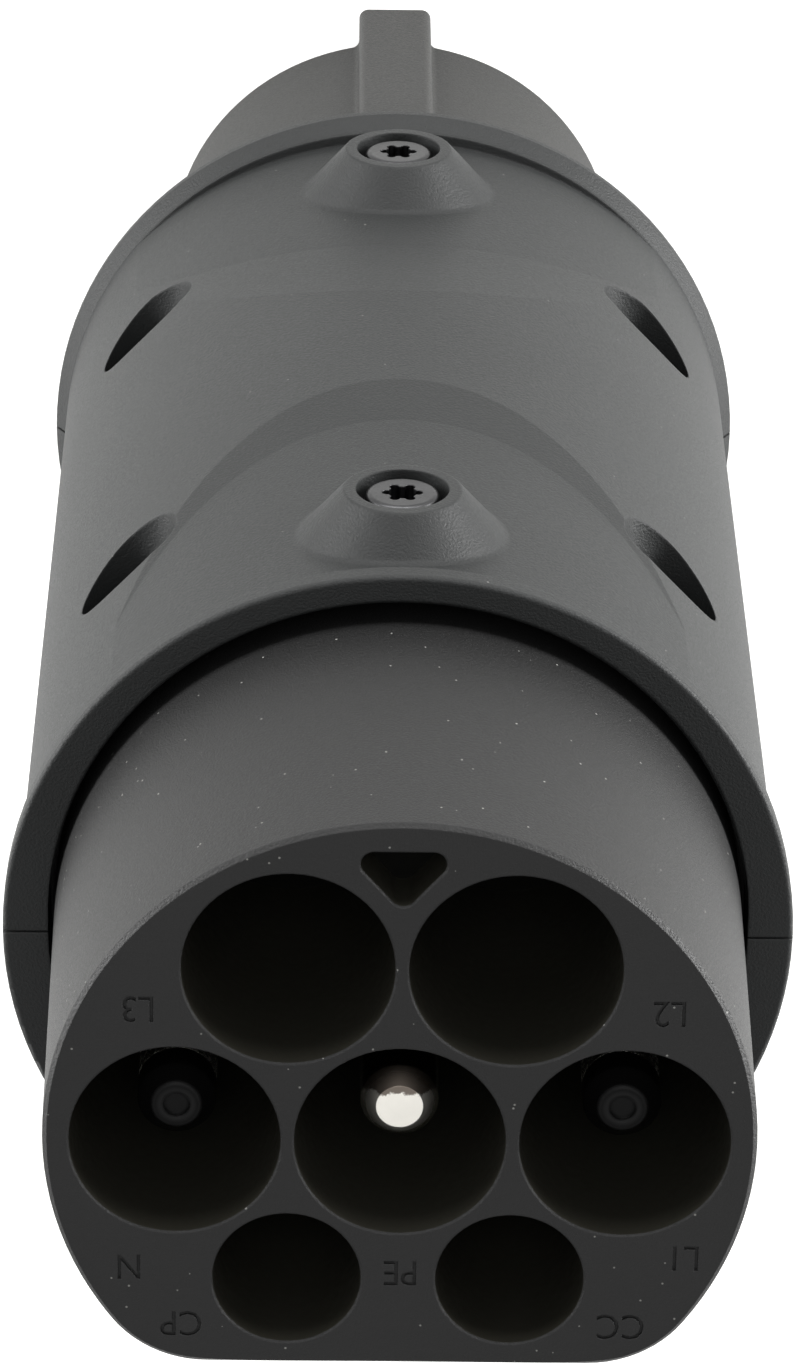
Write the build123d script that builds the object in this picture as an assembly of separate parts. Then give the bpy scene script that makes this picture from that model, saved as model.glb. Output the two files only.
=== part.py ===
"""Adapter plug for electric car charging, from a seven way nose to a five way barrel.

Millimetres.  The plug stands on the end of its barrel.  The origin is the middle of
that end, +Z runs up the plug's axis to the contact face of the nose, and -Y is the
screw side, with the key rib.  Each piece is written to parts/NAME.step.
"""

import math
import os

from build123d import *

os.makedirs("parts", exist_ok=True)

# Lengths along the axis.
barrel_length = 44.0
body_length = 101.4
nose_length = 33.0
z_rim = barrel_length
z_collar = z_rim + body_length
z_face = z_collar + nose_length
reach = 2 * z_face

# Contact pattern of the nose, which sets the width of the nose and of the body.
pitch = 17.0
well_rib = 1.0
well_r = (pitch - well_rib) / 2
signal_well_r = 5.66
signal_rib = 1.08
upper_row_y = -pitch * math.sqrt(3) / 2
signal_row_y = math.sqrt((well_r + signal_rib + signal_well_r) ** 2 - (pitch / 2) ** 2)

# Nose.
nose_side_wall = 2.0
nose_flat_wall = 1.9
nose_r = pitch + well_r + nose_side_wall
nose_flat = signal_row_y + signal_well_r + nose_flat_wall
nose_corner = 8.9
nose_draft = math.tan(math.radians(0.95))
nose_edge = 0.35
well_edge = 0.15
nose_gap = 0.45
well_depth = 28.0
web_thickness = 4.0
mark_width = 8.8
mark_height = 5.0
mark_round = 1.0
mark_inset = 2.4
mark_depth = 4.5
z_web = z_face - well_depth - web_thickness

# Body, made of two half shells.
shell_step = 3.65
rim_step = 1.0
body_r = nose_r + shell_step
rim_r = body_r + rim_step
rim_edge = 0.6
rim_band = 1.4
rim_end = 3.0
collar_edge = 0.4
collar_band = 1.8
collar_end = 3.4
wall = 2.85
cavity_r = body_r - wall
rear_wall = 3.6
collar_plate = 5.7
opening_relief = 1.55
opening_relief_depth = 3.0
parting_width = 0.22
parting_depth = 0.3
barrel_gap = 0.3

# Flatter zones of the screw side, each with a ramp that rises to a curved ridge.
zone_r = body_r + 1.85
front_zone_top = body_r - 0.85
rear_zone_top = body_r - 0.95
ridge_rise = 41.0
ridge_z = z_rim + ridge_rise
rear_ramp = 0.075
rear_ramp_r = body_r + 4.35
arch_drop = 41.1
arch_z = z_collar - arch_drop
front_ramp = 0.13
front_ramp_r = body_r + 11.35
ramp_overlap = 6.0

# Flange and skirt that hold the nose in the body.
flange_wall = 1.65
flange_gap = 0.3
flange_r = body_r - flange_wall - flange_gap
flange_flat = nose_flat + 1.8
flange_height = 2.5
seal_thickness = 0.8
seal_gap = 0.1
z_plate = z_collar - collar_plate
z_seal = z_plate - seal_thickness
z_flange = z_seal - flange_height
skirt_gap = 0.5
skirt_r = cavity_r - skirt_gap
skirt_wall = 3.0
skirt_drop = 19.2
skirt_end_z = z_collar - skirt_drop
hollow_r = skirt_r - skirt_wall
hollow_flat = nose_flat - 2.4
hollow_corner = nose_corner - 1.9
stop_height = 2.1
stop_depth = 2.8

# Contacts of the nose, and the plate behind them.
pin_r = 3.0
pin_chamfer = 1.2
pin_recess = 5.4
pin_hole_gap = 0.05
pin_flange_r = 4.0
pin_flange_height = 2.0
pin_tail_r = 2.5
pin_tail_drop = 9.4
pin_tail_z = z_collar - pin_tail_drop
cap_height = 3.6
cap_dish_r = 1.0
cap_dish_depth = 0.35
cap_stem_r = 1.55
cap_stem_length = 4.6
signal_pin_r = 1.5
signal_pin_recess = 14.0
signal_flange_r = 2.5
signal_flange_height = 1.5
signal_tail_r = 1.25
carrier_gap = 0.3
carrier_height = 6.5
carrier_z = z_web - carrier_height

# Barrel with five sockets.
barrel_r = 21.9
barrel_chamfer = 0.8
key_width = 7.0
key_height = 3.6
key_round = 0.9
key_foot = 0.8
sleeve_wall = 2.7
sleeve_bore_r = barrel_r - sleeve_wall
lip_step = 1.6
lip_r = sleeve_bore_r - lip_step
lip_height = 2.0
base_r = cavity_r - skirt_gap
base_corner = 2.0
base_rise = 18.4
base_end_z = z_rim + base_rise
ring_groove_rise = 6.4
ring_groove_z = z_rim + ring_groove_rise
ring_groove_width = 2.0
ring_groove_depth = 1.3
ring_squeeze = 0.3
block_gap = 0.3
block_r = sleeve_bore_r - block_gap
block_end_drop = 3.7
block_end_z = z_rim - block_end_drop
retainer_height = 6.0
socket_tail_rise = 14.0
socket_end = z_rim + socket_tail_rise
socket_slit = 0.6
socket_bore_depth = 22.0
power_x = 7.9
power_y = 6.8
earth_y = -10.6
signal_x = 10.6
signal_y = -3.9

# Small screws of the two contact plates.
plate_screw_r = 1.2
plate_head_r = 2.3
plate_head_height = 1.7
plate_slot_width = 0.7
plate_slot_length = 3.2
plate_screw_gap = 0.15
plate_thread = 3.0
block_thread = 7.5
upper_screw_inset = 4.9
lower_screw_inset = 3.416
lower_screw_x = 9.0

# Wires inside the body.
power_wire_r = 2.1
power_bend_drop = 37.4
power_bend_r = 9.0
signal_wire_r = 1.0
signal_bend_drop = 28.4
signal_bend_r = 5.5
wire_lead = 3.0

# Screws and inserts of the body.
head_r = 3.0
head_height = 2.2
head_round = 0.5
shank_r = 1.6
screw_gap = 0.2
drive_depth = 1.4
insert_r = 2.4
insert_length = 6.0
insert_inset = 0.3
insert_groove = 0.5
boss_height = 1.35
boss_top = rim_r + boss_height
boss_ring_r = 4.75
boss_hole_r = 3.75
boss_flare = 0.86
boss_foot = 0.8
boss_edge = 0.25
boss_seat_depth = 2.5
boss_seat = boss_top - boss_seat_depth
front_boss_drop = 13.6
front_boss_z = z_collar - front_boss_drop
rear_boss_rise = 13.4
rear_boss_z = z_rim + rear_boss_rise
pad_half = 4.2
pocket_inset = 8.4
pocket_x = body_r - pocket_inset
pocket_r = 3.9
pocket_seat = 9.0
front_pocket_drop = 26.0
front_pocket_z = z_collar - front_pocket_drop
rear_pocket_rise = 24.9
rear_pocket_z = z_rim + rear_pocket_rise
pillar_r = 5.5
pillar_screw_tip = 8.5

# Latch on the side away from the key rib.
latch_rise = 28.0
latch_z = z_rim + latch_rise
latch_inset = 4.25
latch_y = body_r - latch_inset
latch_pin_r = 1.5
latch_pin_gap = 0.05
latch_pin_fit = 0.02
latch_hub_r = 3.4
latch_arm_w = 10.0
latch_side_gap = 0.6
latch_button_w = 13.0
latch_cheek = 2.4
latch_floor = 1.2
latch_floor_y = latch_y - latch_hub_r - 0.6
latch_under = latch_y - 0.4
latch_over = body_r + 0.15
latch_waist = 1.6
latch_tip_z = 3.0
latch_arm_inset = 3.0
latch_waist_end = 4.0
latch_hook = 5.5
latch_hook_gap = 1.8
button_rise = 35.0
button_length = 18.0
button_low = z_rim + button_rise
button_high = button_low + button_length
button_top = boss_top
button_round = 0.8
button_gap = 1.0
spring_inset = 10.0
spring_z = button_low + spring_inset
spring_r = 2.6
spring_wire = 0.6
spring_turns = 5.5
spring_seat = 1.2
base_flat = latch_floor_y - latch_floor - ring_squeeze


def save(piece, name):
    """Write one piece as a STEP file under its own name."""
    piece.label = name
    export_step(piece, f"parts/{name}.step")


def d_outline(radius, flat, corner):
    """Round outline with one flat towards +Y and rounded corners."""
    face = Circle(radius) - Pos(0, flat + radius) * Rectangle(4 * radius, 2 * radius)
    return fillet(face.vertices(), corner)


def slab(sketch, z_low, z_high):
    """Outline raised from one height to another."""
    return Pos(0, 0, z_low) * extrude(sketch, z_high - z_low)


def rod(radius, z_low, z_high, x=0.0, y=0.0):
    """Upright cylinder between two heights."""
    return Pos(x, y, (z_low + z_high) / 2) * Cylinder(radius, z_high - z_low)


def cross_rod(radius, y_low, y_high, x, z):
    """Cylinder lying along Y between two depths."""
    return Pos(x, (y_low + y_high) / 2, z) * Rot(90, 0, 0) * Cylinder(radius, y_high - y_low)


def axle(radius, length):
    """Cylinder lying along X at the latch's hinge."""
    return Pos(0, latch_y, latch_z) * Rot(0, 90, 0) * Cylinder(radius, length)


def block(x_low, x_high, y_low, y_high, z_low, z_high):
    """Plain box between six limits."""
    middle = Pos((x_low + x_high) / 2, (y_low + y_high) / 2, (z_low + z_high) / 2)
    return middle * Box(x_high - x_low, y_high - y_low, z_high - z_low)


def turned(points):
    """Solid of revolution about Z from (radius, z) points."""
    outline = Polyline(*[(r, 0, z) for r, z in points], close=True)
    return revolve(make_face(outline), Axis.Z)


def plate_screw(head_z, tip_z, x, y):
    """Small cross slotted screw; its head faces away from its tip."""
    up = 1 if head_z > tip_z else -1
    head_end = head_z + up * plate_head_height
    screw = rod(plate_screw_r, min(head_z, tip_z), max(head_z, tip_z), x, y)
    screw += rod(plate_head_r, min(head_z, head_end), max(head_z, head_end), x, y)
    screw -= Pos(x, y, head_end) * Box(plate_slot_width, plate_slot_length, plate_head_height)
    screw -= Pos(x, y, head_end) * Box(plate_slot_length, plate_slot_width, plate_head_height)
    return screw


power_wells = [(-pitch, 0.0), (pitch, 0.0), (0.0, 0.0)]
spare_wells = [(-pitch / 2, upper_row_y), (pitch / 2, upper_row_y)]
signal_wells = [(pitch / 2, signal_row_y), (-pitch / 2, signal_row_y)]
root_grow = nose_draft * (z_face - z_flange)

# ---------------------------------------------------------------- nose
nose_front = d_outline(nose_r, nose_flat, nose_corner)
nose_root = d_outline(nose_r + root_grow, nose_flat + root_grow, nose_corner)
nose = loft([Pos(0, 0, z_flange) * nose_root, Pos(0, 0, z_face) * nose_front])
nose = chamfer(nose.faces().sort_by(Axis.Z)[-1].edges(), nose_edge)
nose += slab(d_outline(flange_r, flange_flat, nose_corner), z_flange, z_seal)
nose += slab(d_outline(skirt_r, nose_flat, nose_corner), skirt_end_z, z_flange)
for x, y in power_wells + spare_wells:
    nose -= rod(well_r, z_web + web_thickness, z_face + 1, x, y)
for x, y in signal_wells:
    nose -= rod(signal_well_r, z_web + web_thickness, z_face + 1, x, y)
hollow = slab(d_outline(hollow_r, hollow_flat, hollow_corner), skirt_end_z - 1, z_web)
pad_y = -skirt_r + insert_length
pad = block(-pad_half, pad_half, -skirt_r + 1.8, pad_y + 1.8, skirt_end_z, front_boss_z + pad_half)
nose -= hollow - pad
for x, y in power_wells:
    nose -= rod(pin_r + pin_hole_gap, z_web - 1, z_web + web_thickness + 1, x, y)
for x, y in signal_wells:
    nose -= rod(signal_pin_r + pin_hole_gap, z_web - 1, z_web + web_thickness + 1, x, y)
nose -= cross_rod(insert_r, -skirt_r - 1, pad_y + 0.8, 0, front_boss_z)

# Small triangular pocket next to the two upper wells.
mark_y = -nose_r + mark_inset
mark = Polygon((-mark_width / 2, mark_y), (mark_width / 2, mark_y), (0, mark_y + mark_height), align=None)
nose -= slab(fillet(mark.vertices(), mark_round), z_face - mark_depth, z_face + 1)
openings = [wire.edges() for wire in nose.faces().sort_by(Axis.Z)[-1].inner_wires()]
nose = chamfer([edge for edges in openings for edge in edges], well_edge)

# The carrier's screws bite into the web from behind.
carrier_screws = [(-12.0, -12.0), (12.0, -12.0), (0.0, 14.2)]
for x, y in carrier_screws:
    nose -= rod(plate_screw_r + 0.05, z_web - 1, z_web + plate_thread + 0.2, x, y)
save(nose, "type2_nose")

# Ring seal in front of the nose flange.
inside = nose_r + root_grow + seal_gap
inside_flat = nose_flat + root_grow + seal_gap
seal = slab(d_outline(flange_r, flange_flat, nose_corner), z_seal, z_plate)
seal -= slab(d_outline(inside, inside_flat, nose_corner), z_seal, z_plate)
save(seal, "nose_gasket")

# Plate that holds the nose contacts from behind.
carrier_outline = d_outline(hollow_r - carrier_gap, hollow_flat - carrier_gap, hollow_corner - carrier_gap)
carrier = slab(carrier_outline, carrier_z, z_web)
for x, y in power_wells:
    carrier -= rod(pin_flange_r + 0.1, z_web - pin_flange_height, z_web + 1, x, y)
    carrier -= rod(pin_tail_r + pin_hole_gap, carrier_z - 1, z_web, x, y)
for x, y in signal_wells:
    carrier -= rod(signal_flange_r + 0.1, z_web - signal_flange_height, z_web + 1, x, y)
    carrier -= rod(signal_tail_r + pin_hole_gap, carrier_z - 1, z_web, x, y)
for x, y in carrier_screws:
    carrier -= rod(plate_screw_r + plate_screw_gap, carrier_z - 1, z_web + 1, x, y)
save(carrier, "type2_contact_carrier")

for n, (x, y) in enumerate(carrier_screws):
    save(plate_screw(carrier_z, z_web + plate_thread, x, y), f"carrier_screw_{n + 1}")

# ---------------------------------------------------------------- pins of the nose
pin_top = z_face - pin_recess
cap_z = pin_top - cap_height
for name, (x, y), capped in (
    ("line_pin", power_wells[0], True),
    ("neutral_pin", power_wells[1], True),
    ("earth_pin", power_wells[2], False),
):
    pin = rod(pin_r, z_web, cap_z if capped else pin_top, x, y)
    if not capped:
        pin = chamfer(pin.faces().sort_by(Axis.Z)[-1].edges(), pin_chamfer)
    pin += rod(pin_flange_r, z_web - pin_flange_height, z_web, x, y)
    pin += rod(pin_tail_r, pin_tail_z, z_web - pin_flange_height, x, y)
    if capped:
        pin -= rod(cap_stem_r + 0.05, cap_z - cap_stem_length - 0.4, cap_z + 1, x, y)
    save(pin, name)

# Touch-safe caps on the two power pins.
for name, (x, y) in (("line_pin_cap", power_wells[0]), ("neutral_pin_cap", power_wells[1])):
    cap = rod(pin_r, cap_z, pin_top, x, y)
    cap = chamfer(cap.faces().sort_by(Axis.Z)[-1].edges(), pin_chamfer)
    cap += rod(cap_stem_r, cap_z - cap_stem_length, cap_z, x, y)
    cap -= rod(cap_dish_r, pin_top - cap_dish_depth, pin_top + 1, x, y)
    save(cap, name)

for name, (x, y) in (("pilot_pin", signal_wells[0]), ("proximity_pin", signal_wells[1])):
    pin = rod(signal_pin_r, z_web, z_face - signal_pin_recess, x, y)
    pin = fillet(pin.faces().sort_by(Axis.Z)[-1].edges(), signal_pin_r / 2)
    pin += rod(signal_flange_r, z_web - signal_flange_height, z_web, x, y)
    pin += rod(signal_tail_r, pin_tail_z, z_web - signal_flange_height, x, y)
    save(pin, name)


# ---------------------------------------------------------------- shells
def body_form(inset):
    """Outside of the body, or a copy of it that lies inside by a small inset."""
    return turned([
        (0, z_rim + inset),
        (rim_r - rim_edge - inset, z_rim + inset),
        (rim_r - inset, z_rim + rim_edge + inset),
        (rim_r - inset, z_rim + rim_band),
        (body_r - inset, z_rim + rim_end),
        (body_r - inset, z_collar - collar_end),
        (rim_r - inset, z_collar - collar_band),
        (rim_r - inset, z_collar - inset),
        (0, z_collar - inset),
    ])


def lowered(z_low, z_high, top, ramp_z, slope, ramp_r):
    """What is cut away to leave a flatter zone that ends in a ramp with a curved ridge."""
    tool = block(-reach, reach, -reach, 0, z_low, z_high)
    tool -= Pos(0, zone_r - top, 0) * Cylinder(zone_r, 2 * reach)
    tilt = math.degrees(math.atan(slope))
    ramp = Pos(0, -body_r, ramp_z) * Rot(tilt, 0, 0) * Pos(0, ramp_r, 0) * Cylinder(ramp_r, reach)
    return tool - ramp


def barrel_outline(gap):
    """Round barrel with its key rib, grown by a clearance."""
    key_y = -(barrel_r + key_height)
    outline = Circle(barrel_r) + Pos(0, key_y / 2) * Rectangle(key_width, -key_y)
    tips = outline.vertices().filter_by_position(Axis.Y, key_y - 0.1, key_y + 0.1)
    outline = fillet(tips, key_round)
    feet = outline.vertices().filter_by_position(Axis.Y, key_y + key_round + 0.1, -barrel_r / 2)
    outline = fillet(feet, key_foot)
    return offset(outline, gap) if gap else outline


body = body_form(0)
body = fillet(body.edges().sort_by(Axis.Z)[-1], collar_edge)
body -= lowered(
    arch_z - ramp_overlap, z_collar - collar_end - 0.6, front_zone_top, arch_z, -front_ramp, front_ramp_r
)
body -= lowered(
    z_rim + rim_end + 0.4, ridge_z + ramp_overlap, rear_zone_top, ridge_z, rear_ramp, rear_ramp_r
)

# Bosses shaped as a cone, with a small fillet round the foot.
boss_depth = boss_top - body_r + wall
boss_root_r = boss_ring_r + boss_flare * boss_depth
for z in (front_boss_z, rear_boss_z):
    cone = Rot(90, 0, 0) * Cone(boss_root_r, boss_ring_r, boss_depth)
    body += Pos(0, -boss_top + boss_depth / 2, z) * cone
foot_edges = [
    edge for edge in body.edges().filter_by(GeomType.BSPLINE)
    if 2 * boss_ring_r < edge.bounding_box().size.X < 2 * boss_root_r
    and abs(edge.bounding_box().center().X) < 0.1
    and edge.bounding_box().size.Z < 2 * boss_root_r
]
body = fillet(foot_edges, boss_foot)
ring_edges = body.edges().filter_by_position(Axis.Y, -boss_top - 0.01, -boss_top + 0.01)
body = fillet(ring_edges, boss_edge)

# Inside, with stops for the two inner ends and pillars for the four deep screws.
inner = turned([
    (0, z_rim + rear_wall),
    (cavity_r, z_rim + rear_wall),
    (cavity_r, z_flange - flange_gap),
    (flange_r + flange_gap, z_flange - flange_gap),
    (flange_r + flange_gap, z_plate),
    (0, z_plate),
])
for stop_z in (base_end_z + flange_gap, skirt_end_z - flange_gap - stop_height):
    stop = rod(cavity_r + 1, stop_z, stop_z + stop_height)
    inner -= stop - rod(cavity_r - stop_depth, stop_z - 1, stop_z + stop_height + 1)
for z in (front_pocket_z, rear_pocket_z):
    for x in (-pocket_x, pocket_x):
        inner -= cross_rod(pillar_r, -body_r, body_r, x, z)
body -= inner

# Openings for the barrel and for the nose.
body -= slab(barrel_outline(barrel_gap), z_rim - 1, z_rim + rear_wall + 1)
opening_grow = nose_draft * nose_length + nose_gap
opening = d_outline(nose_r + opening_grow, nose_flat + opening_grow, nose_corner)
body -= slab(opening, z_plate - 1, z_collar + 1)
relief = Pos(0, -opening_relief) * Circle(nose_r + opening_grow)
relief -= Pos(0, reach / 2) * Rectangle(reach, reach)
body -= slab(relief, z_collar - opening_relief_depth, z_collar + 1)

# Holes for the six screws and the four inserts of the plain side.
for z in (front_boss_z, rear_boss_z):
    body -= cross_rod(boss_hole_r, -boss_top - 1, -boss_seat, 0, z)
    body -= cross_rod(shank_r + screw_gap, -boss_seat - 1, -skirt_r + insert_length, 0, z)
for z in (front_pocket_z, rear_pocket_z):
    for x in (-pocket_x, pocket_x):
        body -= cross_rod(pocket_r, -rim_r - 1, -pocket_seat, x, z)
        body -= cross_rod(shank_r + screw_gap, -pocket_seat - 1, pillar_screw_tip + 3.5, x, z)
        body -= cross_rod(insert_r, 0, insert_length + 1.5, x, z)

# Cord grooves along both parting faces, and the fine parting line outside.
seal_x = (cavity_r + body_r) / 2
seal_low = base_end_z + 4.0
seal_high = skirt_end_z - 4.0
cord = 0.6
for x in (-seal_x, seal_x):
    body -= block(x - cord - 0.05, x + cord + 0.05, -cord, cord, seal_low, seal_high)
parting = block(-reach, reach, -parting_width / 2, parting_width / 2, z_rim, z_collar)
body -= parting - body_form(parting_depth)

screw_side = body & block(-reach, reach, -reach, 0, -reach, reach)
plain_side = body & block(-reach, reach, 0, reach, -reach, reach)

# Latch housing: a trough let into the plain side shell.
trough_y = latch_floor_y - latch_floor
trough_low = z_rim + rear_wall
trough_high = button_high + button_gap
cheek_x = latch_arm_w / 2 + latch_side_gap
button_x = latch_button_w / 2 + latch_side_gap
pin_reach = cheek_x + latch_cheek
trough = block(-pin_reach, pin_reach, trough_y, reach, trough_low, trough_high + 2)
trough += block(-button_x - 2, button_x + 2, trough_y, reach, latch_z + latch_hub_r, trough_high + 2)
plain_side += trough & rod(body_r - 0.2, z_rim, z_collar)
plain_side -= block(-cheek_x, cheek_x, latch_floor_y, reach, trough_low, button_low)
plain_side -= block(-cheek_x, cheek_x, latch_under - 0.1, reach, z_rim - 1, trough_low + 1)
plain_side -= block(-button_x, button_x, latch_floor_y, reach, button_low - button_gap, trough_high)
plain_side -= axle(latch_pin_r + latch_pin_fit, 2 * pin_reach - 0.8)
save(screw_side, "screw_side_shell")
save(plain_side, "plain_side_shell")

for name, x in (("parting_seal_left", -seal_x), ("parting_seal_right", seal_x)):
    save(block(x - cord, x + cord, -cord, cord, seal_low + 0.1, seal_high - 0.1), name)


# ---------------------------------------------------------------- screws and inserts
def body_screw(seat_y, tip_y, x, z):
    """Screw lying along Y with its six lobed head towards -Y."""
    screw = cross_rod(head_r, seat_y - head_height, seat_y, x, z)
    screw = fillet(screw.faces().sort_by(Axis.Y)[0].edges(), head_round)
    screw += cross_rod(shank_r, seat_y, tip_y, x, z)
    lobes = Circle(0.39 * head_r)
    for k in range(6):
        lobes += Rot(0, 0, 60 * k) * Pos(0.41 * head_r, 0) * Circle(0.14 * head_r)
    drive = extrude(lobes, drive_depth)
    screw -= Pos(x, seat_y - head_height + drive_depth, z) * Rot(90, 0, 0) * drive
    return screw


def insert(y_low, x, z):
    """Brass insert lying along Y."""
    ring = cross_rod(insert_r, y_low, y_low + insert_length, x, z)
    for k in range(3):
        y = y_low + insert_length * (0.2 + 0.3 * k)
        groove = cross_rod(insert_r + 1, y, y + insert_groove, x, z)
        ring -= groove - cross_rod(insert_r - insert_groove / 2, y, y + insert_groove, x, z)
    ring -= cross_rod(shank_r + 0.02, y_low - 1, y_low + insert_length + 1, x, z)
    return ring


for place, z, hub_r in (("front", front_boss_z, skirt_r), ("rear", rear_boss_z, base_r)):
    insert_y = -hub_r + insert_inset
    save(body_screw(-boss_seat, insert_y + insert_length, 0, z), f"{place}_boss_screw")
    save(insert(insert_y, 0, z), f"{place}_boss_insert")
for place, z in (("front", front_pocket_z), ("rear", rear_pocket_z)):
    for side, x in (("left", -pocket_x), ("right", pocket_x)):
        save(body_screw(-pocket_seat, pillar_screw_tip, x, z), f"{place}_{side}_screw")
        save(insert(insert_inset + 0.1, x, z), f"{place}_{side}_insert")

# ---------------------------------------------------------------- barrel
barrel = slab(barrel_outline(0), 0, z_rim + rear_wall)
end_edges = barrel.faces().sort_by(Axis.Z)[0].edges()
barrel = chamfer(end_edges, barrel_chamfer)
barrel += slab(d_outline(base_r, base_flat, base_corner), z_rim + rear_wall, base_end_z)
barrel -= rod(sleeve_bore_r, lip_height, base_end_z + 1)
barrel -= rod(lip_r, -1, lip_height + 1)
barrel -= cross_rod(insert_r, -base_r - 1, -base_r + insert_length + 0.8, 0, rear_boss_z)
groove_r = base_r - ring_groove_depth
groove_flat = base_flat - ring_groove_depth
groove_floor = d_outline(groove_r, groove_flat, base_corner)
groove_top = ring_groove_z + ring_groove_width
groove = rod(rim_r, ring_groove_z, groove_top) - slab(groove_floor, ring_groove_z, groove_top)
save(barrel - groove, "type1_barrel")

ring = slab(
    d_outline(base_r + ring_squeeze, base_flat + ring_squeeze, base_corner),
    ring_groove_z + seal_gap, groove_top - seal_gap
)
ring -= slab(groove_floor, ring_groove_z, groove_top)
save(ring, "barrel_gasket")

# Block with the five sockets, and the plate behind it.
sockets = (
    ("line_socket", -power_x, power_y, 1.8, 3.2, 7.0),
    ("neutral_socket", power_x, power_y, 1.8, 3.2, 7.0),
    ("earth_socket", 0.0, earth_y, 1.4, 2.7, 5.0),
    ("pilot_socket", signal_x, signal_y, 0.75, 1.8, 9.0),
    ("proximity_socket", -signal_x, signal_y, 0.75, 1.8, 9.0),
)
block_screw_y = -math.sqrt((block_r - lower_screw_inset) ** 2 - lower_screw_x ** 2)
block_screws = [
    (0.0, block_r - upper_screw_inset),
    (-lower_screw_x, block_screw_y),
    (lower_screw_x, block_screw_y),
]
retainer_z = block_end_z + retainer_height
slit = socket_slit / 2
insulator = rod(block_r, lip_height, block_end_z)
retainer = rod(block_r, block_end_z, retainer_z)
for name, x, y, bore, outside, depth in sockets:
    insulator -= rod(bore + 0.6, 0, depth, x, y)
    insulator -= rod(outside + 0.05, depth, block_end_z + 1, x, y)
    insulator -= rod(outside + 0.95, block_end_z - 1.6, block_end_z + 1, x, y)
    retainer -= rod(outside - 0.35, block_end_z - 1, retainer_z + 1, x, y)
    socket = rod(outside, depth + 0.1, block_end_z - 1.5, x, y)
    socket += rod(outside + 0.9, block_end_z - 1.5, block_end_z, x, y)
    socket += rod(outside - 0.4, block_end_z, socket_end, x, y)
    socket -= rod(bore, depth, depth + socket_bore_depth, x, y)
    slit_end = depth + socket_bore_depth / 2 + 1
    socket -= block(x - slit, x + slit, y - 2 * outside, y + 2 * outside, depth - 1, slit_end)
    socket -= block(x - 2 * outside, x + 2 * outside, y - slit, y + slit, depth - 1, slit_end)
    save(socket, name)
for x, y in block_screws:
    insulator -= rod(plate_screw_r + 0.05, block_end_z - block_thread - 0.5, block_end_z + 1, x, y)
    retainer -= rod(plate_screw_r + plate_screw_gap, block_end_z - 1, retainer_z + 1, x, y)
save(insulator, "type1_contact_block")
save(retainer, "socket_retainer")
for n, (x, y) in enumerate(block_screws):
    save(plate_screw(retainer_z, block_end_z - block_thread, x, y), f"retainer_screw_{n + 1}")

# ---------------------------------------------------------------- wires inside the body
power_bend_z = z_collar - power_bend_drop
signal_bend_z = z_collar - signal_bend_drop
ends = {name: (x, y) for name, x, y, *rest in sockets}
wires = (
    ("line_wire", power_wells[0], ends["line_socket"], power_wire_r, power_bend_z, power_bend_r),
    ("neutral_wire", power_wells[1], ends["neutral_socket"], power_wire_r, power_bend_z, power_bend_r),
    ("earth_wire", power_wells[2], ends["earth_socket"], power_wire_r, power_bend_z, power_bend_r),
    ("pilot_wire", signal_wells[0], ends["pilot_socket"], signal_wire_r, signal_bend_z, signal_bend_r),
    ("proximity_wire", signal_wells[1], ends["proximity_socket"], signal_wire_r, signal_bend_z, signal_bend_r),
)
for name, top, bottom, radius, bend_z, bend_r in wires:
    path = FilletPolyline(
        (top[0], top[1], pin_tail_z),
        (top[0], top[1], pin_tail_z - wire_lead),
        (bottom[0], bottom[1], bend_z),
        (bottom[0], bottom[1], socket_end),
        radius=bend_r,
    )
    start = Plane(origin=(top[0], top[1], pin_tail_z), z_dir=(0, 0, -1))
    save(sweep(start * Circle(radius), path), name)

# ---------------------------------------------------------------- latch
arm_x = latch_arm_w / 2
hook_z = latch_tip_z + latch_hook
lever = block(-arm_x, arm_x, latch_under, latch_over, latch_tip_z + latch_arm_inset, button_high - button_round)
lever += block(-arm_x, arm_x, barrel_r + latch_hook_gap, latch_over, latch_tip_z, hook_z)
lever += axle(latch_hub_r, latch_arm_w)
lever -= block(-reach, reach, latch_over - latch_waist, reach, z_rim - latch_waist_end, latch_z + latch_waist_end)
button = block(-latch_button_w / 2, latch_button_w / 2, latch_under, button_top, button_low, button_high)
lever += fillet(button.faces().sort_by(Axis.Y)[-1].edges(), button_round)
lever -= axle(latch_pin_r + latch_pin_gap, reach)
lever -= cross_rod(spring_r + 0.9, latch_under - 1, latch_under + spring_seat, 0, spring_z)
save(lever, "latch_lever")
save(axle(latch_pin_r, 2 * pin_reach - 1.0), "latch_pin")

spring_length = latch_under + spring_seat - latch_floor_y - spring_wire
helix = Helix(spring_length / spring_turns, spring_length, spring_r)
coil = sweep(Plane(helix @ 0, z_dir=helix % 0) * Circle(spring_wire / 2), helix)
save(Pos(0, latch_floor_y + spring_wire / 2, spring_z) * Rot(-90, 0, 0) * coil, "latch_spring")
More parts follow.
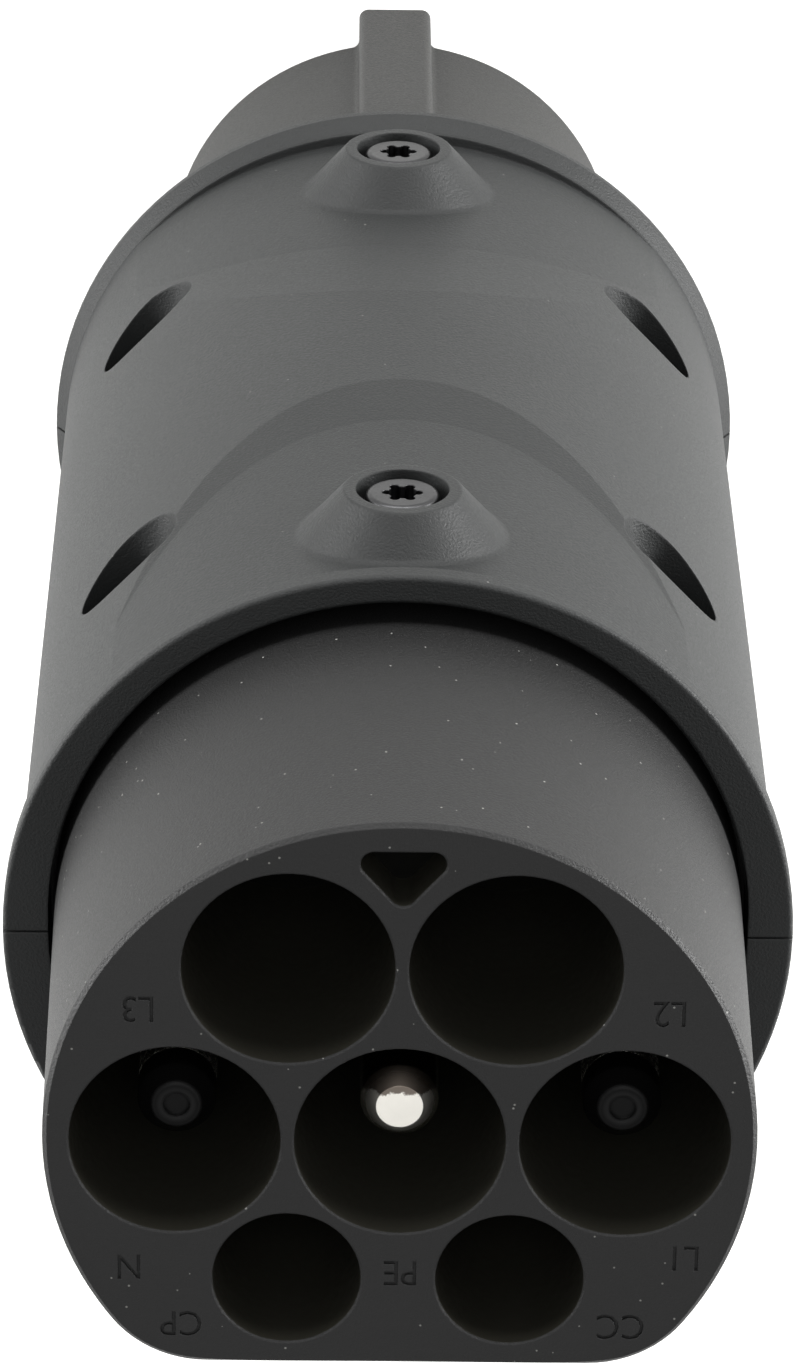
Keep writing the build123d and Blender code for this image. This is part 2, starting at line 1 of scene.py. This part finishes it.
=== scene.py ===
import bpy
import math
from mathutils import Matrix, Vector


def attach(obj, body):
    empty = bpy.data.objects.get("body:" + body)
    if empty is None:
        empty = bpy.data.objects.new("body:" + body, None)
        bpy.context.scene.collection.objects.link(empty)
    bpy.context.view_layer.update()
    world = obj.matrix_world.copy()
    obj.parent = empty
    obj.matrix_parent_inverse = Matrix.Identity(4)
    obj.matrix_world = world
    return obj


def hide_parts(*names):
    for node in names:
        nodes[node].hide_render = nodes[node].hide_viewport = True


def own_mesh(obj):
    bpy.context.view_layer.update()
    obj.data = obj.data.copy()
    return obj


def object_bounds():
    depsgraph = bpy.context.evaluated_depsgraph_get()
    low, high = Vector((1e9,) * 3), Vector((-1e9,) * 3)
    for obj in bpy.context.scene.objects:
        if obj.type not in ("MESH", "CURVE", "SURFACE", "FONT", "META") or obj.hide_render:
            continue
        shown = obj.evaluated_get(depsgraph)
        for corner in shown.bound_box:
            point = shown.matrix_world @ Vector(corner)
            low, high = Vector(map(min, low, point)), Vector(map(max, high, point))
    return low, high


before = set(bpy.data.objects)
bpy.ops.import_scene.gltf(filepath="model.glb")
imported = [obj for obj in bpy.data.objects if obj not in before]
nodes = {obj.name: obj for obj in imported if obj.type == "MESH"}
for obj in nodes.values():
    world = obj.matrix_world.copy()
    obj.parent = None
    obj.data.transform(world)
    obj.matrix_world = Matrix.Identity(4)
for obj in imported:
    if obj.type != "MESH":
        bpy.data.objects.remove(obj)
cad_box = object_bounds()
mm = 0.001

# ---- Setting: a white room for a dark plug.  The world is white wherever it is seen
# directly, in reflections or through glass, and fills the shadows with half that light.
scene = bpy.context.scene
scene.view_settings.view_transform = "Standard"
for old in [o for o in bpy.data.objects if o.type in {"LIGHT", "CAMERA"}]:
    bpy.data.objects.remove(old)


def add_node(tree, kind, values=None, **settings):
    """Adds one shader node, sets its properties, and fills its input sockets."""
    node = tree.nodes.new(kind)
    for key, value in settings.items():
        setattr(node, key, value)
    for key, value in (values or {}).items():
        if isinstance(value, bpy.types.NodeSocket):
            tree.links.new(value, node.inputs[key])
        else:
            node.inputs[key].default_value = value
    return node


def to_linear(code):
    """Linear red, green, blue and alpha of an sRGB hex colour."""
    parts = [int(code[i:i + 2], 16) / 255 for i in (1, 3, 5)]
    return [c / 12.92 if c < 0.04045 else ((c + 0.055) / 1.055) ** 2.4 for c in parts] + [1.0]


def any_ray(tree, first, *others):
    """One where the ray is of any of the named kinds, and zero elsewhere."""
    path = add_node(tree, "ShaderNodeLightPath")
    mask = path.outputs[first]
    for other in others:
        larger = add_node(tree, "ShaderNodeMath", {0: mask, 1: path.outputs[other]},
                          operation="MAXIMUM")
        mask = larger.outputs[0]
    return mask


fill_light = 0.5
world = bpy.data.worlds.new("white_room")
scene.world = world
world.use_nodes = True
tree = world.node_tree
tree.nodes.clear()
seen = any_ray(tree, "Is Camera Ray", "Is Glossy Ray", "Is Transmission Ray")
level = add_node(tree, "ShaderNodeMapRange", {"Value": seen, "To Min": fill_light, "To Max": 1.0})
sky = add_node(tree, "ShaderNodeBackground",
               {"Color": to_linear("#ffffff"), "Strength": level.outputs[0]})
add_node(tree, "ShaderNodeOutputWorld", {"Surface": sky.outputs[0]})

# ---- Floor: a plain pale card under the barrel's end.  To the camera it glows a little,
# so that it runs into the white room and still keeps the plug's shadow.
floor_size = 6.0
floor_glow = 0.50
bpy.ops.object.select_all(action="DESELECT")
bpy.ops.mesh.primitive_plane_add(size=floor_size, location=(0, 0, 0))
floor = bpy.context.object
floor.name = "floor"
paper = bpy.data.materials.new("pale_card")
paper.use_nodes = True
tree = paper.node_tree
tree.nodes.clear()
seen = any_ray(tree, "Is Camera Ray", "Is Glossy Ray")
card = add_node(tree, "ShaderNodeBsdfDiffuse", {"Color": to_linear("#f4f4f2"), "Roughness": 0.6})
glow = add_node(tree, "ShaderNodeEmission", {"Color": to_linear("#ffffff"), "Strength": floor_glow})
both = add_node(tree, "ShaderNodeAddShader", {0: card.outputs[0], 1: glow.outputs[0]})
mix = add_node(tree, "ShaderNodeMixShader", {"Fac": seen, 1: card.outputs[0], 2: both.outputs[0]})
add_node(tree, "ShaderNodeOutputMaterial", {"Surface": mix.outputs[0]})
floor.data.materials.append(paper)

# ---- Lamps: one wide soft lamp over the screw side, one at each flank and a weak one
# above that shines into the wells, all large enough to leave no hard edge.
aim = Vector((0, 0, 0.08))
for name, place, size, power in (
    ("lamp_screw_side", (0.0, -1.2, 0.20), (1.6, 0.4), 17.0),
    ("lamp_line_side", (-1.1, -0.20, 0.10), (0.9, 0.3), 44.0),
    ("lamp_neutral_side", (1.1, -0.20, 0.10), (0.9, 0.3), 29.0),
    ("lamp_above", (0.0, -0.60, 1.30), (0.6, 0.4), 4.2),
):
    bpy.ops.object.light_add(type="AREA", location=place)
    lamp = bpy.context.object
    lamp.name = name
    lamp.data.shape = "RECTANGLE"
    lamp.data.size, lamp.data.size_y = size
    lamp.data.energy = power
    lamp.rotation_euler = (aim - Vector(place)).to_track_quat("-Z", "Y").to_euler()

# ---- Camera: above the screw side, a long lens close to the nose, turned so that the
# barrel end is at the top of the picture.
bpy.ops.object.camera_add(location=(0.005016, -0.243916, 0.598046),
                          rotation=(-0.455531, -0.004538, -3.128799))
camera = bpy.context.object
camera.name = "camera"
camera.data.sensor_fit = "AUTO"
camera.data.sensor_width = 36.0
camera.data.lens = 168.583
camera.data.clip_start = 0.01
camera.data.clip_end = 20.0
scene.camera = camera


# ---- Half shells: charcoal polycarbonate blend, moulded in a spark eroded tool, which
# gives an even matt grain, drawn coarser than the real one so that it shows.  Two screws
# in bosses and four in deep pockets join them.
def ground(name, base, rough, grain_mm, grain, edge_mm, mottle, grit, patches, polish, relief_mm):
    """Starts a finish: a mottled colour, a roughness that follows the grain, and a normal
    with the grain and softened edges.  grit is the grain's (detail, roughness), patches the
    mottling's (size in mm, detail, roughness), and polish how far the roughness can fall."""
    rise = 0.08
    made = bpy.data.materials.new(name)
    made.use_nodes = True
    tree = made.node_tree
    tree.nodes.clear()
    place = add_node(tree, "ShaderNodeTexCoord").outputs["Object"]
    fine = add_node(tree, "ShaderNodeTexNoise", {"Vector": place, "Scale": 1 / (grain_mm * mm),
                                                 "Detail": grit[0], "Roughness": grit[1]})
    slow = add_node(tree, "ShaderNodeTexNoise", {"Vector": place, "Scale": 1 / (patches[0] * mm),
                                                 "Detail": patches[1], "Roughness": patches[2]})
    common = {"From Min": 0.3, "From Max": 0.7}
    tint = add_node(tree, "ShaderNodeMapRange", {"Value": slow.outputs["Fac"], **common,
                                                 "To Min": 1 - mottle, "To Max": 1 + mottle})
    colour = add_node(tree, "ShaderNodeVectorMath",
                      {0: to_linear(base)[:3], "Scale": tint.outputs[0]}, operation="SCALE")
    gloss = add_node(tree, "ShaderNodeMapRange", {"Value": fine.outputs["Fac"], **common,
                                                  "To Min": rough - polish, "To Max": rough + rise})
    soft = add_node(tree, "ShaderNodeBevel", {"Radius": edge_mm * mm}, samples=4)
    bump = add_node(tree, "ShaderNodeBump", {"Height": fine.outputs["Fac"], "Strength": grain,
                                             "Distance": relief_mm * mm, "Normal": soft.outputs[0]})
    return made, colour.outputs[0], gloss.outputs[0], bump.outputs[0]


def dusted(tree, colour, strength, clean):
    """Adds sparse pale dust specks to a colour.  clean is the share of cells without one."""
    cell_mm = 1.6
    speck_mm = 0.088
    place = add_node(tree, "ShaderNodeTexCoord").outputs["Object"]
    cells = add_node(tree, "ShaderNodeTexVoronoi", {"Vector": place, "Scale": 1 / (cell_mm * mm)})
    chance = add_node(tree, "ShaderNodeSeparateColor", {"Color": cells.outputs["Color"]})
    rare = add_node(tree, "ShaderNodeMath", {0: chance.outputs[0], 1: clean},
                    operation="GREATER_THAN")
    near = add_node(tree, "ShaderNodeMath", {0: cells.outputs["Distance"], 1: speck_mm / cell_mm},
                    operation="LESS_THAN")
    dot = add_node(tree, "ShaderNodeMath", {0: rare.outputs[0], 1: near.outputs[0]},
                   operation="MULTIPLY")
    dot = add_node(tree, "ShaderNodeMath", {0: dot.outputs[0], 1: strength}, operation="MULTIPLY")
    mixed = add_node(tree, "ShaderNodeMix", {"Factor": dot.outputs[0], "A": colour,
                                             "B": to_linear("#8c8c88")[:3]}, data_type="VECTOR")
    return mixed.outputs["Result"]


def moulded(name, base, rough, shine, grain_mm, grain, edge_mm, dust=None):
    """Moulded plastic or rubber: a grained skin with slow mottling and softened edges.
    dust is (strength, share of clean cells)."""
    made, colour, gloss, normal = ground(
        name, base, rough, grain_mm, grain, edge_mm, mottle=0.05,
        grit=(3.0, 0.6), patches=(14.0, 4.0, 0.55), polish=0.06, relief_mm=0.1)
    tree = made.node_tree
    if dust:
        colour = dusted(tree, colour, *dust)
    skin = add_node(tree, "ShaderNodeBsdfPrincipled",
                    {"Base Color": colour, "Roughness": gloss, "Specular IOR Level": shine,
                     "Normal": normal})
    add_node(tree, "ShaderNodeOutputMaterial", {"Surface": skin.outputs[0]})
    return made


shallow = math.radians(32)


def dress(material, *names):
    """Gives CAD nodes one finish and smooth shading over their shallow edges."""
    bpy.ops.object.select_all(action="DESELECT")
    for name in names:
        piece = nodes[name]
        piece.data.materials.clear()
        piece.data.materials.append(material)
        piece.select_set(True)
        bpy.context.view_layer.objects.active = piece
    bpy.ops.object.shade_smooth_by_angle(angle=shallow)


shell_plastic = moulded("charcoal_polycarbonate", "#212222", 0.49, 0.20, grain_mm=0.22, grain=0.7,
                        edge_mm=0.25, dust=(0.5, 0.8))
dress(shell_plastic, "screw_side_shell", "plain_side_shell")


# ---- Nose: black glass filled polyamide. Its face and flanks carry the tool's grain, the
# wells were formed by smooth steel cores, and each has its terminal mark engraved.  The well
# walls are a lighter copy of the polyamide, painted light, and the well floors a darker copy, painted
# shade.
def copy_of(node, name):
    """A copy of a CAD node, selected, to be changed and shown in its place."""
    bpy.ops.object.select_all(action="DESELECT")
    piece = nodes[node].copy()
    piece.data = nodes[node].data.copy()
    piece.name = name
    piece.parent = None
    scene.collection.objects.link(piece)
    piece.select_set(True)
    bpy.context.view_layer.objects.active = piece
    return piece


def merge_active(gap_mm):
    """Merges the active mesh's doubles and points its faces outwards."""
    bpy.ops.object.mode_set(mode="EDIT")
    bpy.ops.mesh.select_all(action="SELECT")
    bpy.ops.mesh.remove_doubles(threshold=gap_mm * mm)
    bpy.ops.mesh.normals_make_consistent(inside=False)
    bpy.ops.object.mode_set(mode="OBJECT")


nose = copy_of("type2_nose", "engraved_nose")
merge_active(0.002)
bpy.ops.mesh.customdata_custom_splitnormals_clear()

face_z = cad_box[1][2]
mark_size = 3.15 * mm
mark_depth = 0.22 * mm
mark_narrowing = 0.86
for word, x, y in (
    ("L3", 19.7, -11.4),
    ("L2", -20.07, -11.36),
    ("N", 20.5, 11.0),
    ("L1", -21.7, 9.86),
    ("PE", -0.2, 11.36),
    ("CP", 16.5, 16.0),
    ("CC", -17.07, 16.0),
):
    bpy.ops.object.select_all(action="DESELECT")
    bpy.ops.object.text_add(location=(x * mm, y * mm, face_z))
    cutter = bpy.context.object
    cutter.data.body = word
    cutter.data.size = mark_size
    cutter.data.align_x = "CENTER"
    cutter.data.align_y = "CENTER"
    cutter.data.extrude = mark_depth
    cutter.data.resolution_u = 3
    cutter.scale = (mark_narrowing, 1.0, 1.0)
    bpy.ops.object.convert(target="MESH")
    bpy.ops.object.transform_apply(location=True, rotation=True, scale=True)
    merge_active(0.001)
    engrave = nose.modifiers.new("engrave_" + word, "BOOLEAN")
    engrave.operation = "DIFFERENCE"
    engrave.solver = "EXACT"
    engrave.object = cutter
    bpy.ops.object.select_all(action="DESELECT")
    nose.select_set(True)
    bpy.context.view_layer.objects.active = nose
    bpy.ops.object.modifier_apply(modifier=engrave.name)
    bpy.data.objects.remove(cutter)

nose_plastic = moulded("black_polyamide", "#121212", 0.50, 0.29, grain_mm=0.2, grain=0.75,
                       edge_mm=0.15, dust=(0.7, 0.2))
# The well walls get a base lighter than the nose's own: painted light that lifts the shade inside the
# wells.
painted_light_well_plastic = moulded("well_polyamide_painted_light", "#262520", 0.45, 0.1, grain_mm=0.8, grain=0.05,
                       edge_mm=0.12)
# The floors of the wells and of other recesses in the face get a darker base: painted shade that hides
# their lit floors.
painted_shade_floor_plastic = moulded("well_floor_painted_shade", "#0d0d0b", 0.6, 0.05, grain_mm=0.8, grain=0.05,
                        edge_mm=0.12)
nose.data.materials.clear()
for material in (nose_plastic, painted_light_well_plastic, painted_shade_floor_plastic):
    nose.data.materials.append(material)
# Faces sunk below the face inside the wells get the painted light wall finish, and those facing up get
# the painted shade floor finish.
well_edge_z = face_z - 0.3 * mm
painted_well_r = 25.6 * mm
painted_well_flat = 18.5 * mm
faces_up = 0.7
for face in nose.data.polygons:
    x, y, z = face.center
    if z < well_edge_z and math.hypot(x, y) < painted_well_r and y < painted_well_flat:
        face.material_index = 2 if face.normal.z > faces_up else 1
    else:
        face.material_index = 0
bpy.ops.object.shade_smooth_by_angle(angle=shallow)
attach(nose, "plug")
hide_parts("type2_nose")

# ---- Barrel and latch lever: the same black polyamide as the nose.  The barrel's key rib
# runs to its end, and the lever hangs on a steel pin in the plain side shell.
barrel_plastic = moulded("black_polyamide_barrel", "#222221", 0.5, 0.24, grain_mm=0.2, grain=0.5,
                         edge_mm=0.15)
dress(barrel_plastic, "type1_barrel", "latch_lever")

# ---- Inner mouldings: smooth black polyamide for the contact plates and the socket block,
# which close the plug behind its pins and sockets.
inner_plastic = moulded("smooth_polyamide", "#141414", 0.40, 0.3, grain_mm=0.5, grain=0.08,
                        edge_mm=0.12)
dress(inner_plastic, "type2_contact_carrier", "type1_contact_block", "socket_retainer")


# ---- Pin caps: smooth black polyamide over the tips of the line and neutral pins.  Mating
# has polished a ring on each, round a dull moulded dimple.
def skin_of(material):
    """The surface shader of a finish."""
    return next(node for node in material.node_tree.nodes if node.type == "BSDF_PRINCIPLED")


def worn_rings(material, axis_x_mm, stops):
    """Sets a material's roughness by its distance from an upright axis on either side of the
    plug's middle.  stops are (distance in mm, roughness)."""
    reach_mm = 3.0
    tree = material.node_tree
    place = add_node(tree, "ShaderNodeTexCoord").outputs["Object"]
    spot = add_node(tree, "ShaderNodeSeparateXYZ", {0: place})
    side = add_node(tree, "ShaderNodeMath", {0: spot.outputs["X"]}, operation="ABSOLUTE")
    side = add_node(tree, "ShaderNodeMath", {0: side.outputs[0], 1: axis_x_mm * mm},
                    operation="SUBTRACT")
    flat = add_node(tree, "ShaderNodeCombineXYZ", {"X": side.outputs[0], "Y": spot.outputs["Y"]})
    away = add_node(tree, "ShaderNodeVectorMath", {0: flat.outputs[0]}, operation="LENGTH")
    part = add_node(tree, "ShaderNodeMath", {0: away.outputs["Value"], 1: reach_mm * mm},
                    operation="DIVIDE")
    rings = add_node(tree, "ShaderNodeValToRGB", {"Fac": part.outputs[0]})
    points = rings.color_ramp.elements
    ends = (stops[0], stops[-1])
    for point, (distance, rough) in zip(points, ends):
        point.position = distance / reach_mm
        point.color = (rough, rough, rough, 1.0)
    for distance, rough in stops[1:-1]:
        points.new(distance / reach_mm).color = (rough, rough, rough, 1.0)
    tree.links.new(rings.outputs["Color"], skin_of(material).inputs["Roughness"])


pin_pitch_mm = 17.0
cap_plastic = moulded("pin_cap_polyamide", "#080808", 0.45, 0.17, grain_mm=0.5, grain=0.08,
                      edge_mm=0.5)
worn_rings(cap_plastic, pin_pitch_mm, ((0.85, 0.68), (0.95, 0.34), (1.2, 0.38), (1.6, 0.8), (2.1, 0.15)))
dress(cap_plastic, "line_pin_cap", "neutral_pin_cap")

# ---- Seals: soft black silicone rubber with a dull skin, squeezed between the mouldings.
# Flat rings seal the nose and the barrel, and a cord runs along each parting line.
rubber = moulded("silicone_rubber", "#0e0e0e", 0.7, 0.4, grain_mm=0.6, grain=0.2, edge_mm=0.1)
dress(rubber, "nose_gasket", "barrel_gasket", "parting_seal_left", "parting_seal_right")


# ---- Contacts: silver plated copper alloy, turned to size.  The plating is bright, with
# a faint warm tarnish.  Its turning marks are too fine to show and are drawn as a coarser
# even grain, as on all the metal pieces.
def metal(name, base, rough, grain_mm, grain, edge_mm, mottle=0.08):
    """Plated or turned metal: a grain in its shine, slow tarnish and softened edges."""
    made, colour, gloss, normal = ground(
        name, base, rough, grain_mm, grain, edge_mm, mottle,
        grit=(4.0, 0.65), patches=(2.5, 3.0, 0.5), polish=0.05, relief_mm=0.02)
    skin = add_node(made.node_tree, "ShaderNodeBsdfPrincipled",
                    {"Base Color": colour, "Roughness": gloss, "Metallic": 1.0, "Normal": normal})
    add_node(made.node_tree, "ShaderNodeOutputMaterial", {"Surface": skin.outputs[0]})
    return made


silver = metal("silver_plate", "#e6e3da", 0.24, grain_mm=0.5, grain=0.08, edge_mm=0.15,
               mottle=0.05)
dress(silver, "line_pin", "neutral_pin", "pilot_pin", "proximity_pin")
dress(silver, "line_socket", "neutral_socket", "earth_socket", "pilot_socket", "proximity_socket")

# ---- Earth pin: the same plating, worn bright on its bare tip, duller on the chamfer and
# stained brown on the side towards the key rib.
worn_silver = metal("worn_silver_plate", "#ebe8e0", 0.22, grain_mm=0.35, grain=0.2, edge_mm=0.12,
                    mottle=0.04)
worn_rings(worn_silver, 0.0, ((1.7, 0.2), (1.9, 0.42), (2.4, 0.32), (2.9, 0.2)))
tree = worn_silver.node_tree
plate_colour = skin_of(worn_silver).inputs["Base Color"]
place = add_node(tree, "ShaderNodeTexCoord").outputs["Object"]
spot = add_node(tree, "ShaderNodeSeparateXYZ", {0: place})
stain_grain = 0.9 * mm
stain_waver = 1.6 * mm
stain_start = -0.15 * mm
stain_full = -0.35 * mm
stain_depth = 0.9
wave = add_node(tree, "ShaderNodeTexNoise", {"Vector": place, "Scale": 1 / stain_grain,
                                             "Detail": 5.0, "Roughness": 0.7})
shift = add_node(tree, "ShaderNodeMath", {0: wave.outputs["Fac"], 1: stain_waver,
                                          2: spot.outputs["Y"]}, operation="MULTIPLY_ADD")
brown = add_node(tree, "ShaderNodeMapRange", {"Value": shift.outputs[0], "From Min": stain_start,
                                              "From Max": stain_full, "To Min": 0.0,
                                              "To Max": stain_depth})
stained = add_node(tree, "ShaderNodeMix", {"Factor": brown.outputs[0],
                                           "A": plate_colour.links[0].from_socket,
                                           "B": to_linear("#54473d")[:3]}, data_type="VECTOR")
tree.links.new(stained.outputs["Result"], plate_colour)
dress(worn_silver, "earth_pin")

# ---- Body screws: blackened steel with six lobed drives, cold headed, so that their high
# spots shine through the oxide.
black_steel = metal("black_oxide_steel", "#3e3e3f", 0.3, grain_mm=0.3, grain=0.35, edge_mm=0.15,
                    mottle=0.15)
dress(black_steel, "front_boss_screw", "rear_boss_screw")
dress(black_steel, "front_left_screw", "front_right_screw", "rear_left_screw", "rear_right_screw")

# ---- Plate screws: small zinc plated screws with a cross slot, which hold the two
# contact plates from behind.
zinc = metal("zinc_plated_steel", "#b9bcc0", 0.32, grain_mm=0.3, grain=0.3, edge_mm=0.1,
             mottle=0.12)
dress(zinc, "carrier_screw_1", "carrier_screw_2", "carrier_screw_3")
dress(zinc, "retainer_screw_1", "retainer_screw_2", "retainer_screw_3")

# ---- Inserts: turned brass rings with grooves, pressed hot into the plastic.  Each takes
# one body screw.
brass = metal("turned_brass", "#c79a4b", 0.3, grain_mm=0.3, grain=0.3, edge_mm=0.1)
dress(brass, "front_boss_insert", "rear_boss_insert")
dress(brass, "front_left_insert", "front_right_insert", "rear_left_insert", "rear_right_insert")

# ---- Latch pin and spring: bright spring steel, ground pin and coiled wire. The spring
# stands on the floor of the lever's trough, and the lever squeezes it as it turns; a copy of it with a
# mesh of its own is shown in its place as modelled.
spring_steel = metal("spring_steel", "#c4c6c8", 0.25, grain_mm=0.3, grain=0.2, edge_mm=0.08)
dress(spring_steel, "latch_pin", "latch_spring")
coil = copy_of("latch_spring", "squeezed_spring")
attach(coil, "plug")
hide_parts("latch_spring")
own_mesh(coil)

# ---- Inner wires: stranded copper in soft jackets, black for line, blue for neutral,
# green for earth and grey for the two signals.
for name, code in (
    ("line_wire", "#1a1a1a"),
    ("neutral_wire", "#23509a"),
    ("earth_wire", "#3e8f35"),
    ("pilot_wire", "#8d8a84"),
    ("proximity_wire", "#8d8a84"),
):
    jacket = moulded(name.replace("wire", "jacket"), code, 0.5, 0.5, grain_mm=0.8, grain=0.15,
                     edge_mm=0.1)
    dress(jacket, name)
